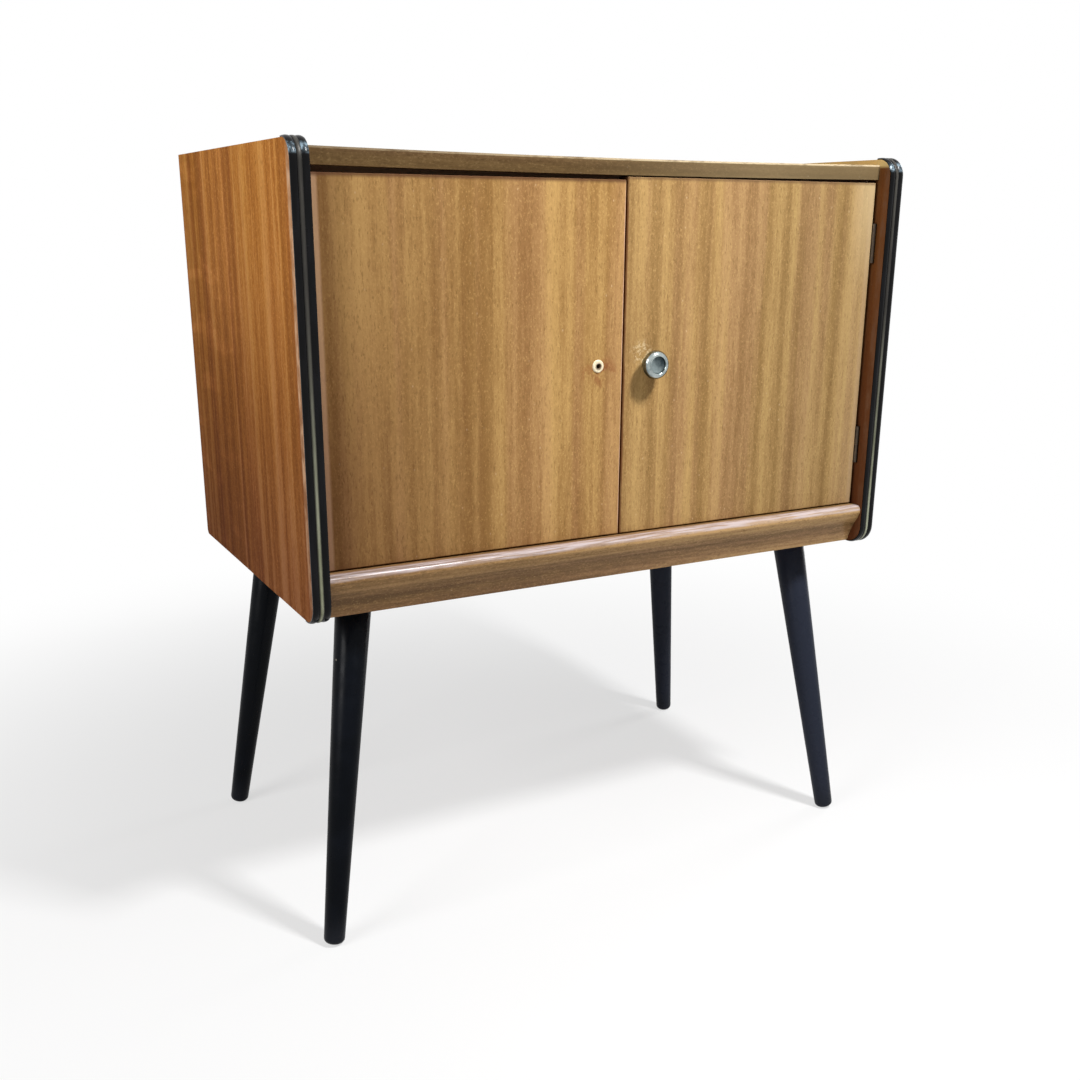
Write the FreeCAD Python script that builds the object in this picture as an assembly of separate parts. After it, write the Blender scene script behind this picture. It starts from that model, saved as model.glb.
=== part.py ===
import FreeCAD, Part
import math
import os
from FreeCAD import Placement, Rotation, Vector

# A two-door record cabinet on four splayed legs. Millimetres, +Z up, the front faces -Y.
# It is drawn with Y = 0 at the front edge of the side panels and Z = 0 on the floor. save()
# moves every piece back, so that the origin lies on the floor under the middle of the cabinet.

os.makedirs("parts", exist_ok=True)

# Carcass
cabinet_width = 656.0
underside_height = 342.0        # floor to the bottom edge of the side panels
side_height = 410.0
side_depth = 382.0
side_thick = 17.0
side_top_radius = 17.0          # front corner at the top, where the edge moulding turns over
side_bottom_radius = 19.0       # front corner at the bottom
side_back_radius = 6.0          # back corner at the bottom
top_thick = 14.5
top_recess = 5.5                # the sides rise this far above the top panel
top_sag = 2.0                   # bow of the wide, unsupported top at mid-span
floor_thick = 16.0
floor_rise = 43.0               # bottom edge of the sides to the upper face of the floor
back_thick = 4.0
back_inset = 0.5                # the back panel lies this far in from the sides' rear edges
back_rebate = 7.0               # how far the rebate for the back reaches into a side
back_fit = 0.2
back_top_gap = 3.0              # the back panel stops this far below the top's upper face

# Front rail with a round nose and a hollow, raked face, grooved behind for the floor's tongue
rail_back = 30.0                # its back face, behind the sides' front edge
rail_nose_setback = 1.9
rail_nose_radius = 5.5
rail_lip_height = 7.8           # height of the nose, down to where the raked face starts
rail_lip_radius = 2.5
rail_foot_setback = 19.2
rail_hollow = 2.0               # deepest place of the hollow
floor_tongue_thick = 6.0
floor_tongue_length = 5.0

# Batten under the top, which the doors close against
stop_depth = 16.0
stop_height = 20.0

# Battens under the floor, which carry the legs
leg_batten_width = 90.0

# Loose tongues that join the top, the floor and the rail to the sides
loose_tongue_thick = 4.0
loose_tongue_width = 18.0       # across the joint, half in each piece
loose_tongue_inset = 20.0       # from the front and back edges of the panels
rail_tongue_height = 24.0
rail_tongue_rise = 8.0
joint_fit = 0.1

# Edge moulding: two black ribs with a gold bead between them, and a tongue behind
rib_width = 6.5
bead_width = 4.0
moulding_web = 1.0              # thickness under the bead and at the foot of the ribs
rib_height = 1.9
bead_land = 0.4                 # straight sides of the bead, below its crown
bead_crown = 0.4
moulding_tongue_thick = 2.4
moulding_tongue_length = 6.5
groove_spare = 0.8              # the groove is this much deeper than the tongue
moulding_return = 4.0           # how far the moulding runs on past each corner

# Doors
door_setback = 16.0
door_thick = 16.0
door_arris = 0.8                # chamfer round the front face
door_meeting_gap = 2.0
door_hinge_gap = 3.4
door_bottom_gap = 1.5
left_door_top_gap = 6.0
right_door_top_gap = 3.3

# Butt hinges
hinge_length = 40.0
hinge_leaf_width = 15.0
hinge_leaf_thick = 1.0
hinge_barrel_radius = 2.4
hinge_pin_radius = 1.2
pin_clearance = 0.05
hinge_proud = 0.6               # the pin's axis stands this far in front of the doors
knuckle_gap = 0.3
hinge_above_floor = 68.0
hinge_below_top = 64.0

# Lock in the left door, strike in the right door
key_backset = 27.5              # meeting edge of the door to the key's axis
key_above_floor = 170.5
lock_width = 40.0
lock_below_key = 16.0
lock_above_key = 30.0
lock_case_depth = 9.0
lock_wall = 1.2
lock_cap_thick = 1.0
lock_cap_ear = 7.0              # the cap reaches this far above and below the case
selvedge_thick = 1.5
selvedge_width = 11.0
selvedge_overhang = 13.0
bolt_above_key = 13.0
bolt_height = 12.0
bolt_thick = 5.0
bolt_length = 30.0
bolt_tip_recess = 0.3
bolt_throw = 8.0
strike_height = 36.0
moving_gap = 0.3                # clearance round everything that slides or turns

# Key bush
bush_radius = 6.2
bush_proud = 1.2                # how far it stands out from the door
keyhole_radius = 2.2
keyhole_slot_width = 2.2
keyhole_slot_length = 4.8

# Knob on the right door
knob_radius = 14.0
knob_reach = 19.0
knob_backset = 28.5             # meeting edge of the door to the knob's axis
knob_neck_radius = 7.5
knob_neck_height = 8.0          # door to where the knob widens
knob_rim_width = 6.0
knob_dish_depth = 3.4
knob_insert_thick = 1.2
knob_screw_radius = 2.0
knob_screw_length = 11.0

# Flat slide bolts that hold the right door
slide_x = 22.0
slide_bar_width = 8.0
slide_bar_thick = 3.0
slide_bar_tail = 4.0            # the bar runs on past its plate
slide_plate_width = 20.0
slide_plate_thick = 1.2
slide_plate_gap = 3.0           # from the plate to the face that the bolt shoots into
slide_strap_height = 8.0
slide_strap_wall = 1.2
slide_throw = 8.0
slide_grip_thick = 3.0
slide_grip_reach = 7.0
slide_tip_gap = 0.6

# Record dividers and the notched batten behind them
divider_count = 5
divider_thick = 4.0
divider_height = 250.0
divider_front = 78.0
divider_corner_cut = 90.0        # the upper front corner is cut away at 45 degrees
divider_groove_depth = 3.0
divider_fit = 0.2               # on each side of a divider, in its groove and notch
rack_height = 24.0
rack_depth = 18.0
rack_rise = 170.0
rack_notch_depth = 10.0

# Legs, and the plates with studs that they screw on to
leg_side_inset = 46.0           # from the side of the body to the top of the leg's axis
leg_front_inset = 40.0          # from the ends of the leg batten, at the front and at the back
leg_back_inset = 41.0
leg_splay_x = 51.0              # how far the foot stands out from the top of the leg
leg_splay_y = 43.5
leg_top_radius = 17.5
leg_foot_radius = 10.5
leg_foot_chamfer = 3.0
leg_foot_wear = 0.6             # how deep the floor has worn the lowest edge of the foot
leg_rim_clearance = 0.5
plate_size = 56.0
plate_thick = 2.5
plate_corner_cut = 6.0
plate_wedge_size = 30.0         # the pressed wedge that the leg seats on, square to the leg
stud_radius = 4.0
stud_in_leg = 32.0

# Places that follow from the sizes above
inner_x = cabinet_width / 2 - side_thick
body_top = underside_height + side_height
top_upper = body_top - top_recess
top_under = top_upper - top_thick
floor_upper = underside_height + floor_rise
floor_under = floor_upper - floor_thick
back_front = side_depth - back_inset - back_thick
back_upper = top_upper - top_sag - back_top_gap
side_mid_x = inner_x + side_thick / 2
moulding_half = rib_width + bead_width / 2

door_back = door_setback + door_thick
door_bottom = floor_upper + door_bottom_gap
door_outer_x = inner_x - door_hinge_gap
meeting_x = door_meeting_gap / 2
stop_front = door_back + moving_gap
stop_under = top_under - stop_height

hinge_x = inner_x - door_hinge_gap / 2
hinge_y = door_setback - hinge_proud
hinge_heights = {"lower": floor_upper + hinge_above_floor, "upper": top_under - hinge_below_top}
side_leaf_x = hinge_x + hinge_barrel_radius - hinge_leaf_thick
door_leaf_x = hinge_x - hinge_barrel_radius

key_x = -(meeting_x + key_backset)
key_z = floor_upper + key_above_floor
knob_x = meeting_x + knob_backset
lock_right = -meeting_x
lock_left = lock_right - lock_width
lock_low = key_z - lock_below_key
lock_high = key_z + lock_above_key
lock_back = door_back - lock_cap_thick
lock_front = lock_back - lock_case_depth
bolt_mid_y = (lock_front + lock_wall + lock_back) / 2
bolt_mid_z = key_z + bolt_above_key

slide_bar_front = door_back + slide_plate_thick + moving_gap
slide_bar_back = slide_bar_front + slide_bar_thick
slide_window = slide_throw + slide_grip_thick + 2 * moving_gap
slide_plate_length = 2 * slide_strap_height + slide_window

divider_half = divider_thick / 2 + divider_fit
rack_front = back_front - rack_depth
rack_under = floor_upper + rack_rise
divider_back = rack_front + rack_notch_depth - divider_fit

leg_top_x = inner_x - leg_side_inset
leg_front_y = rail_back + leg_front_inset
leg_back_y = back_front - leg_back_inset
leg_tilt = math.atan(math.hypot(leg_splay_x, leg_splay_y) / underside_height)
leg_seat_run = (plate_thick + leg_top_radius * math.sin(leg_tilt) + leg_rim_clearance) / math.cos(leg_tilt)

front_reach = min(-rib_height, door_setback - knob_reach)
back_reach = max(side_depth, leg_back_y + leg_splay_y + leg_foot_radius)
origin_y = (front_reach + back_reach) / 2


def save(name, shape):
    """Moves a piece into the cabinet's own frame and writes its file."""
    placed = shape.copy()
    placed.translate(Vector(0, -origin_y, 0))
    placed.exportStep("parts/" + name + ".step")


def mirrored(shape):
    """The same piece on the other side of the cabinet."""
    return shape.mirror(Vector(0, 0, 0), Vector(1, 0, 0))


def both_sides(shapes):
    return shapes + [mirrored(shape) for shape in shapes]


def block(x0, x1, y0, y1, z0, z1):
    return Part.makeBox(x1 - x0, y1 - y0, z1 - z0, Vector(x0, y0, z0))


def rod(radius, start, end):
    return Part.makeCylinder(radius, (end - start).Length, start, end - start)


def in_yz(x):
    return lambda a, b: Vector(x, a, b)


def in_xz(y):
    return lambda a, b: Vector(a, y, b)


def in_xy(z):
    return lambda a, b: Vector(a, b, z)


def drawn(start, steps, to_space):
    """A wire from start: a step (end,) draws a line, and (middle, end) draws an arc."""
    edges = []
    here = to_space(*start)
    for step in steps:
        end = to_space(*step[-1])
        if len(step) == 2:
            edges.append(Part.Arc(here, to_space(*step[0]), end).toShape())
        else:
            edges.append(Part.LineSegment(here, end).toShape())
        here = end
    return Part.Wire(edges)


def rounded(corners, to_space):
    """A closed wire through corners (a, b, radius), each rounded by its own radius."""
    count = len(corners)
    points = [Vector(a, b, 0) for a, b, radius in corners]
    starts = []
    middles = []
    ends = []
    for i in range(count):
        corner = points[i]
        radius = corners[i][2]
        to_last = (points[i - 1] - corner).normalize()
        to_next = (points[(i + 1) % count] - corner).normalize()
        half_angle = to_last.getAngle(to_next) / 2
        run = radius / math.tan(half_angle)
        inward = (to_last + to_next).normalize()
        starts.append(corner + to_last * run)
        ends.append(corner + to_next * run)
        middles.append(corner + inward * (radius / math.sin(half_angle) - radius))
    steps = []
    for i in range(count):
        if corners[i][2] > 0:
            steps.append(((middles[i].x, middles[i].y), (ends[i].x, ends[i].y)))
        following = starts[(i + 1) % count]
        steps.append(((following.x, following.y),))
    return drawn((starts[0].x, starts[0].y), steps, to_space)


def polygon(points, to_space):
    return Part.makePolygon([to_space(*point) for point in points + points[:1]])


def slab(wire, depth):
    """A flat wire thickened along a vector."""
    return Part.Face(wire).extrude(depth)


def turned(profile, start, direction):
    """A turned piece: profile points (radius, distance) about the line from start."""
    face = Part.Face(polygon(profile, in_xz(0)))
    solid = face.revolve(Vector(0, 0, 0), Vector(0, 0, 1), 360)
    solid.Placement = Placement(start, Rotation(Vector(0, 0, 1), direction))
    return solid


def swept(path, section):
    """A section carried along a path that lies in a plane across X."""
    pipe = Part.BRepOffsetAPI.MakePipeShell(path)
    pipe.setBiNormalMode(Vector(1, 0, 0))
    pipe.add(section, False, False)
    pipe.build()
    pipe.makeSolid()
    return pipe.shape()


def sag_at(x):
    """How far the top has sunk at x."""
    return top_sag * (1 - (x / inner_x) ** 2)


def bowed_board(upper, lower, front, back):
    """A board between the sides that follows the bow of the top."""
    steps = [
        ((0, upper - top_sag), (inner_x, upper)),
        ((inner_x, lower),),
        ((0, lower - top_sag), (-inner_x, lower)),
        ((-inner_x, upper),),
    ]
    return slab(drawn((-inner_x, upper), steps, in_xz(front)), Vector(0, back - front, 0))


# ---------------------------------------------------------------- edge moulding

def corner_middle(radius):
    """Distance from a square corner to the middle of its rounding, along either side."""
    return radius * (1 - math.sqrt(0.5))


def moulding_path():
    """The front edge of a side panel, from over the top corner to under the bottom one."""
    top_middle = corner_middle(side_top_radius)
    bottom_middle = corner_middle(side_bottom_radius)
    steps = [
        ((side_top_radius, body_top),),
        ((top_middle, body_top - top_middle), (0, body_top - side_top_radius)),
        ((0, underside_height + side_bottom_radius),),
        ((bottom_middle, underside_height + bottom_middle), (side_bottom_radius, underside_height)),
        ((side_bottom_radius + moulding_return, underside_height),),
    ]
    return drawn((side_top_radius + moulding_return, body_top), steps, in_yz(side_mid_x))


def on_moulding_start(across, outward):
    """A point of the moulding's section, at the path's start on the top edge."""
    return Vector(side_mid_x + across, side_top_radius + moulding_return, body_top + outward)


def make_edge_moulding():
    """Two convex ribs, the channel for the bead, and the tongue that holds it in the panel."""
    bead = bead_width / 2
    rib_middle = bead + rib_width / 2
    tongue = moulding_tongue_thick / 2
    steps = [
        ((-rib_middle, rib_height), (-bead, moulding_web)),
        ((bead, moulding_web),),
        ((rib_middle, rib_height), (moulding_half, moulding_web)),
        ((moulding_half, 0),),
        ((tongue, 0),),
        ((tongue, -moulding_tongue_length),),
        ((-tongue, -moulding_tongue_length),),
        ((-tongue, 0),),
        ((-moulding_half, 0),),
        ((-moulding_half, moulding_web),),
    ]
    return swept(moulding_path(), drawn((-moulding_half, moulding_web), steps, on_moulding_start))


def make_gold_bead():
    """The bead that lies in the channel between the ribs."""
    bead = bead_width / 2
    land = moulding_web + bead_land
    steps = [
        ((bead, moulding_web),),
        ((bead, land),),
        ((0, land + bead_crown), (-bead, land)),
        ((-bead, moulding_web),),
    ]
    return swept(moulding_path(), drawn((-bead, moulding_web), steps, on_moulding_start))


def moulding_groove():
    """The groove in the panel's edge for the moulding's tongue."""
    half = moulding_tongue_thick / 2 + joint_fit
    depth = moulding_tongue_length + groove_spare
    section = polygon([(-half, -depth), (half, -depth), (half, 0), (-half, 0)], on_moulding_start)
    return swept(moulding_path(), section)


# ---------------------------------------------------------------- hinges

def knuckle_zones(middle):
    """Heights of the side leaf's knuckle, below, and of the door leaf's, which turns on it."""
    half = hinge_length / 2
    side_zone = (middle - half, middle - knuckle_gap / 2)
    door_zone = (middle + knuckle_gap / 2, middle + half)
    return side_zone, door_zone


def on_pin(z):
    return Vector(hinge_x, hinge_y, z)


def knuckle_room(low, high):
    """What is left free for knuckles that turn beside a leaf or a panel."""
    reach = hinge_barrel_radius + moving_gap
    return block(hinge_x - reach, hinge_x + reach, hinge_y - reach, hinge_y + reach, low, high)


def leaf_plate(middle, inner_face):
    """A leaf before it is rolled, which is also the recess that it is let into."""
    half = hinge_length / 2
    return block(inner_face, inner_face + hinge_leaf_thick, hinge_y, hinge_y + hinge_leaf_width,
                 middle - half, middle + half)


def hinge_leaf(middle, inner_face, own_zone, other_zone):
    """A leaf rolled round the pin in its own zone and cut back in the other leaf's."""
    low, high = own_zone
    room = knuckle_room(other_zone[0] - knuckle_gap, other_zone[1] + knuckle_gap)
    barrel = rod(hinge_barrel_radius, on_pin(low), on_pin(high))
    bore = rod(hinge_pin_radius + pin_clearance, on_pin(low), on_pin(high))
    return leaf_plate(middle, inner_face).cut(room).fuse(barrel).cut(bore).removeSplitter()


def make_side_leaf(middle):
    side_zone, door_zone = knuckle_zones(middle)
    return hinge_leaf(middle, side_leaf_x, side_zone, door_zone)


def make_door_leaf(middle):
    side_zone, door_zone = knuckle_zones(middle)
    return hinge_leaf(middle, door_leaf_x, door_zone, side_zone)


def make_hinge_pin(middle):
    return rod(hinge_pin_radius, on_pin(middle - hinge_length / 2), on_pin(middle + hinge_length / 2))


def hinge_cuts(leaf_x):
    """Recesses and knuckle room of both hinges, in the side panel or in the door."""
    half = hinge_length / 2 + moving_gap
    cuts = [leaf_plate(middle, leaf_x) for middle in hinge_heights.values()]
    return cuts + [knuckle_room(middle - half, middle + half) for middle in hinge_heights.values()]


# ---------------------------------------------------------------- loose tongues

def across_joint(spare, front, back, low, high):
    """A tongue across the joint of the right side, or with spare the grooves for it."""
    half = loose_tongue_width / 2 + spare
    return block(inner_x - half, inner_x + half,
                 front - spare, back + spare, low - spare, high + spare)


def side_tongues(spare):
    """The tongues of the top, the floor and the rail at the right side."""
    half = loose_tongue_thick / 2
    top_z = top_under + top_thick / 2
    floor_z = floor_upper - floor_thick / 2
    back = back_front - loose_tongue_inset
    rail_y = (rail_foot_setback + rail_back) / 2
    rail_z = underside_height + rail_tongue_rise
    return [
        across_joint(spare, stop_front + loose_tongue_inset, back, top_z - half, top_z + half),
        across_joint(spare, rail_back + loose_tongue_inset, back, floor_z - half, floor_z + half),
        across_joint(spare, rail_y - half, rail_y + half, rail_z, rail_z + rail_tongue_height),
    ]


def tongue_grooves():
    return both_sides(side_tongues(joint_fit))


# ---------------------------------------------------------------- carcass

def make_side_panel():
    """The right side: rounded outline, moulding groove, back rebate, hinge recesses."""
    corners = [
        (side_depth, body_top, 0),
        (0, body_top, side_top_radius),
        (0, underside_height, side_bottom_radius),
        (side_depth, underside_height, side_back_radius),
    ]
    panel = slab(rounded(corners, in_yz(inner_x)), Vector(side_thick, 0, 0))
    rebate = block(inner_x, inner_x + back_rebate, back_front, side_depth, floor_under, back_upper)
    return panel.cut([moulding_groove(), rebate] + side_tongues(joint_fit) + hinge_cuts(side_leaf_x))


def make_top_panel():
    top = bowed_board(top_upper, top_under, door_setback, back_front)
    return top.cut(tongue_grooves())


def make_stop_batten():
    """The doors close against it, and the upper slide bolt shoots into it."""
    batten = bowed_board(top_under, stop_under, stop_front, stop_front + stop_depth)
    return batten.cut(slide_mortise(upper_bolt_face(), 1))


def make_front_rail():
    """Round nose on top of a raked face that is planed hollow, grooved behind for the floor."""
    nose_under = floor_upper - rail_lip_height
    corners = [
        (rail_back, floor_upper, 0),
        (rail_nose_setback, floor_upper, rail_nose_radius),
        (rail_nose_setback, nose_under, rail_lip_radius),
        (rail_foot_setback, underside_height, 0),
        (rail_back, underside_height, 0),
    ]
    rail = slab(rounded(corners, in_yz(-inner_x)), Vector(2 * inner_x, 0, 0))
    hollowing = rail_hollowing(nose_under - rail_lip_radius)
    return rail.cut([hollowing, floor_tongue(joint_fit)] + tongue_grooves())


def rail_hollowing(upper):
    """The round plane that hollows the rail's face, from its foot up to a height."""
    foot = Vector(0, rail_foot_setback, underside_height)
    lip = Vector(0, rail_nose_setback, upper)
    chord = (lip - foot).Length
    radius = (chord ** 2 / 4 + rail_hollow ** 2) / (2 * rail_hollow)
    forward = Vector(0, foot.z - lip.z, lip.y - foot.y).normalize()
    centre = (foot + lip) * 0.5 + forward * (radius - rail_hollow)
    return rod(radius, centre - Vector(inner_x, 0, 0), centre + Vector(inner_x, 0, 0))


def floor_tongue(spare):
    """The tongue along the floor's front edge, or with spare the rail's groove for it."""
    middle = floor_upper - floor_thick / 2
    half = floor_tongue_thick / 2 + spare
    front = rail_back - floor_tongue_length - spare
    return block(-inner_x, inner_x, front, rail_back, middle - half, middle + half)


def make_floor_panel():
    """The cabinet's floor, tongued into the rail and grooved for the dividers."""
    floor = block(-inner_x, inner_x, rail_back, back_front, floor_under, floor_upper)
    floor = floor.fuse(floor_tongue(0)).removeSplitter()
    groove_floor = floor_upper - divider_groove_depth
    grooves = [
        block(x - divider_half, x + divider_half, divider_front, back_front, groove_floor, floor_upper)
        for x in divider_places()
    ]
    return floor.cut(grooves + tongue_grooves() + [slide_mortise(floor_upper, -1)])


def make_back_panel():
    """Hardboard, let into the rebates of the sides."""
    half = inner_x + back_rebate - back_fit
    return block(-half, half, back_front, back_front + back_thick,
                 floor_under + back_fit, back_upper - back_fit)


def make_leg_batten():
    """Hardwood under the right end of the floor, for both legs of that side."""
    return block(inner_x - leg_batten_width, inner_x, rail_back, back_front,
                 underside_height, floor_under)


# ---------------------------------------------------------------- dividers

def divider_places():
    """Middles of the dividers, which part the cabinet into equal compartments."""
    pitch = (2 * inner_x + divider_thick) / (divider_count + 1)
    return [-inner_x - divider_thick / 2 + pitch * (i + 1) for i in range(divider_count)]


def make_divider(x):
    """A hardboard sheet with its upper front corner cut away."""
    low = floor_upper - divider_groove_depth
    high = floor_upper + divider_height
    outline = [
        (divider_front, low),
        (divider_back, low),
        (divider_back, high),
        (divider_front + divider_corner_cut, high),
        (divider_front, high - divider_corner_cut),
    ]
    return slab(polygon(outline, in_yz(x - divider_thick / 2)), Vector(divider_thick, 0, 0))


def make_divider_rack():
    """The batten across the back, with a notch for every divider."""
    rack_upper = rack_under + rack_height
    notch_back = rack_front + rack_notch_depth
    rack = block(-inner_x, inner_x, rack_front, back_front, rack_under, rack_upper)
    notches = [
        block(x - divider_half, x + divider_half, rack_front, notch_back, rack_under, rack_upper)
        for x in divider_places()
    ]
    return rack.cut(notches)


# ---------------------------------------------------------------- doors

def door_board(top_gap):
    """The right door's blank, with its front arrises taken off."""
    board = block(meeting_x, door_outer_x, door_setback, door_back, door_bottom, top_under - top_gap)
    front_edges = [edge for edge in board.Edges if edge.BoundBox.YMax < (door_setback + door_back) / 2]
    return board.makeChamfer(door_arris, front_edges)


def make_right_door():
    cuts = hinge_cuts(door_leaf_x)
    cuts += [strike_plate(), strike_pocket()]
    cuts.append(rod(knob_screw_radius, on_knob(-knob_screw_length), on_knob(0)))
    return door_board(right_door_top_gap).cut(cuts)


def make_left_door():
    door = mirrored(door_board(left_door_top_gap))
    cuts = [mirrored(cut) for cut in hinge_cuts(door_leaf_x)]
    cuts += [lock_tray(), make_lock_cap(), selvedge()]
    cuts.append(rod(bush_radius, on_key(door_setback), on_key(lock_front)))
    return door.cut(cuts)


# ---------------------------------------------------------------- lock and strike

def on_key(y):
    """A point on the key's axis."""
    return Vector(key_x, y, key_z)


def lock_tray():
    """The outside of the lock case, behind its face plate."""
    return block(lock_left, lock_right, lock_front, lock_back, lock_low, lock_high)


def make_lock_cap():
    """The plate that closes the case, let in flush with the back of the door."""
    return block(lock_left, lock_right, lock_back, door_back,
                 lock_low - lock_cap_ear, lock_high + lock_cap_ear)


def selvedge():
    """The face plate in the door's meeting edge."""
    low = lock_low - selvedge_overhang
    high = lock_high + selvedge_overhang
    return block(lock_right - selvedge_thick, lock_right, lock_back - selvedge_width, lock_back, low, high)


def bolt_passage(x0, x1):
    """The slot that the lock's bolt slides through."""
    half_thick = bolt_thick / 2 + moving_gap
    half_height = bolt_height / 2 + moving_gap
    return block(x0, x1, bolt_mid_y - half_thick, bolt_mid_y + half_thick,
                 bolt_mid_z - half_height, bolt_mid_z + half_height)


def keyhole(y0, y1):
    """Round hole with a slot below it, from y0 to y1."""
    half = keyhole_slot_width / 2
    slot = block(key_x - half, key_x + half, y0, y1, key_z - keyhole_slot_length, key_z)
    return rod(keyhole_radius, on_key(y0), on_key(y1)).fuse(slot)


def make_lock_case():
    """A pressed tray, open to the cap, joined to the face plate."""
    room = block(lock_left + lock_wall, lock_right - selvedge_thick, lock_front + lock_wall, lock_back,
                 lock_low + lock_wall, lock_high - lock_wall)
    case = lock_tray().cut(room).fuse(selvedge())
    cuts = [bolt_passage(lock_right - selvedge_thick, lock_right)]
    cuts.append(keyhole(lock_front, lock_front + lock_wall))
    return case.cut(cuts).removeSplitter()


def make_lock_bolt():
    """The bolt, drawn back until its tip is just inside the face plate."""
    tip = lock_right - bolt_tip_recess
    half_thick = bolt_thick / 2
    half_height = bolt_height / 2
    return block(tip - bolt_length, tip, bolt_mid_y - half_thick, bolt_mid_y + half_thick,
                 bolt_mid_z - half_height, bolt_mid_z + half_height)


def strike_plate():
    half = strike_height / 2
    return block(meeting_x, meeting_x + selvedge_thick, lock_back - selvedge_width, lock_back,
                 bolt_mid_z - half, bolt_mid_z + half)


def make_strike():
    return strike_plate().cut(bolt_passage(meeting_x, meeting_x + selvedge_thick))


def strike_pocket():
    """Room behind the strike for the thrown bolt."""
    bolt_reach = bolt_throw - bolt_tip_recess - door_meeting_gap
    return bolt_passage(meeting_x, meeting_x + bolt_reach + moving_gap)


# ---------------------------------------------------------------- key bush and knob

def make_key_bush():
    """A ring pressed into the face of the left door, which guides the key to the lock."""
    ring = rod(bush_radius, on_key(door_setback - bush_proud), on_key(lock_front))
    return ring.cut(rod(keyhole_radius, on_key(door_setback - bush_proud), on_key(lock_front)))


def on_knob(distance):
    """A point on the knob's axis, at a distance in front of the door."""
    return Vector(knob_x, door_setback - distance, key_z)


def make_knob():
    """A turned knob: screw, neck, a wide rim, and a dish for the insert."""
    dish_radius = knob_radius - knob_rim_width
    dish_floor = knob_reach - knob_dish_depth
    profile = [
        (0, -knob_screw_length),
        (knob_screw_radius, -knob_screw_length),
        (knob_screw_radius, 0),
        (knob_neck_radius, 0),
        (knob_neck_radius, knob_neck_height),
        (knob_radius, knob_neck_height),
        (knob_radius, knob_reach),
        (dish_radius, knob_reach),
        (dish_radius, dish_floor),
        (0, dish_floor),
    ]
    return turned(profile, on_knob(0), Vector(0, -1, 0))


def make_knob_insert():
    """The disc in the knob's dish."""
    dish_floor = knob_reach - knob_dish_depth
    radius = knob_radius - knob_rim_width
    return rod(radius, on_knob(dish_floor), on_knob(dish_floor + knob_insert_thick))


# ---------------------------------------------------------------- slide bolts of the right door

def upper_bolt_face():
    """Underside of the stop batten at the slide bolt."""
    return stop_under - sag_at(slide_x)


def slide_block(face_z, up, half_width, front, back, near, far):
    """A block of a slide bolt, which lies near to far from the face that the bolt shoots into."""
    ends = [face_z - up * near, face_z - up * far]
    return block(slide_x - half_width, slide_x + half_width, front, back, min(ends), max(ends))


def make_slide_plate(face_z, up):
    """A plate with two straps that guide the bar."""
    near = slide_plate_gap
    far = near + slide_plate_length
    plate_back = door_back + slide_plate_thick
    half = slide_bar_width / 2 + moving_gap
    plate = slide_block(face_z, up, slide_plate_width / 2, door_back, plate_back, near, far)
    strap_half = half + slide_strap_wall
    strap_back = slide_bar_back + moving_gap + slide_strap_wall
    straps = [
        slide_block(face_z, up, strap_half, plate_back, strap_back, start, start + slide_strap_height)
        for start in (near, far - slide_strap_height)
    ]
    passage = slide_block(face_z, up, half, plate_back, slide_bar_back + moving_gap, near, far)
    return plate.multiFuse([strap.cut(passage) for strap in straps]).removeSplitter()


def make_slide_bar(face_z, up):
    """The flat bar, drawn back, with the tab that travels between the straps."""
    half = slide_bar_width / 2
    far = slide_plate_gap + slide_plate_length
    bar = slide_block(face_z, up, half, slide_bar_front, slide_bar_back,
                      slide_tip_gap, far + slide_bar_tail)
    grip_far = far - slide_strap_height - moving_gap
    grip = slide_block(face_z, up, half, slide_bar_back, slide_bar_back + slide_grip_reach,
                       grip_far - slide_grip_thick, grip_far)
    return bar.fuse(grip).removeSplitter()


def slide_mortise(face_z, up):
    """The mortise that the bar shoots into, cut from the bar's tip inwards."""
    return slide_block(face_z, up, slide_bar_width / 2 + moving_gap, slide_bar_front - moving_gap,
                       slide_bar_back + moving_gap, -slide_throw, slide_tip_gap)


# ---------------------------------------------------------------- legs

def leg_top(y):
    """Where the axis of a right-hand leg meets the underside of the carcass."""
    return Vector(leg_top_x, y, underside_height)


def leg_axis(outward):
    """Unit vector down the leg; outward is -1 for a front leg and 1 for a back leg."""
    return Vector(leg_splay_x, outward * leg_splay_y, -underside_height).normalize()


leg_rows = {"front": (leg_front_y, -1), "back": (leg_back_y, 1)}


def make_leg(y, outward):
    """A straight taper with a chamfered foot, worn flat where it stands."""
    axis = leg_axis(outward)
    end_radius = leg_foot_radius - leg_foot_chamfer
    drop = underside_height + leg_foot_wear - end_radius * math.sin(leg_tilt)
    run = drop / math.cos(leg_tilt) - leg_seat_run
    profile = [
        (0, 0),
        (leg_top_radius, 0),
        (leg_foot_radius, run - leg_foot_chamfer),
        (end_radius, run),
        (0, run),
    ]
    leg = turned(profile, leg_top(y) + axis * leg_seat_run, axis)
    foot = leg_top(y) + axis * (leg_seat_run + run)
    margin = 2 * leg_foot_radius
    below = block(foot.x - margin, foot.x + margin, foot.y - margin, foot.y + margin, -margin, 0)
    return leg.cut([below, stud(y, outward, joint_fit)])


def stud(y, outward, spare):
    """The plate's threaded stud, or with spare the hole for it in the leg."""
    seat = leg_top(y) + leg_axis(outward) * leg_seat_run
    return rod(stud_radius + spare, seat, seat + leg_axis(outward) * (stud_in_leg + spare))


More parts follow.
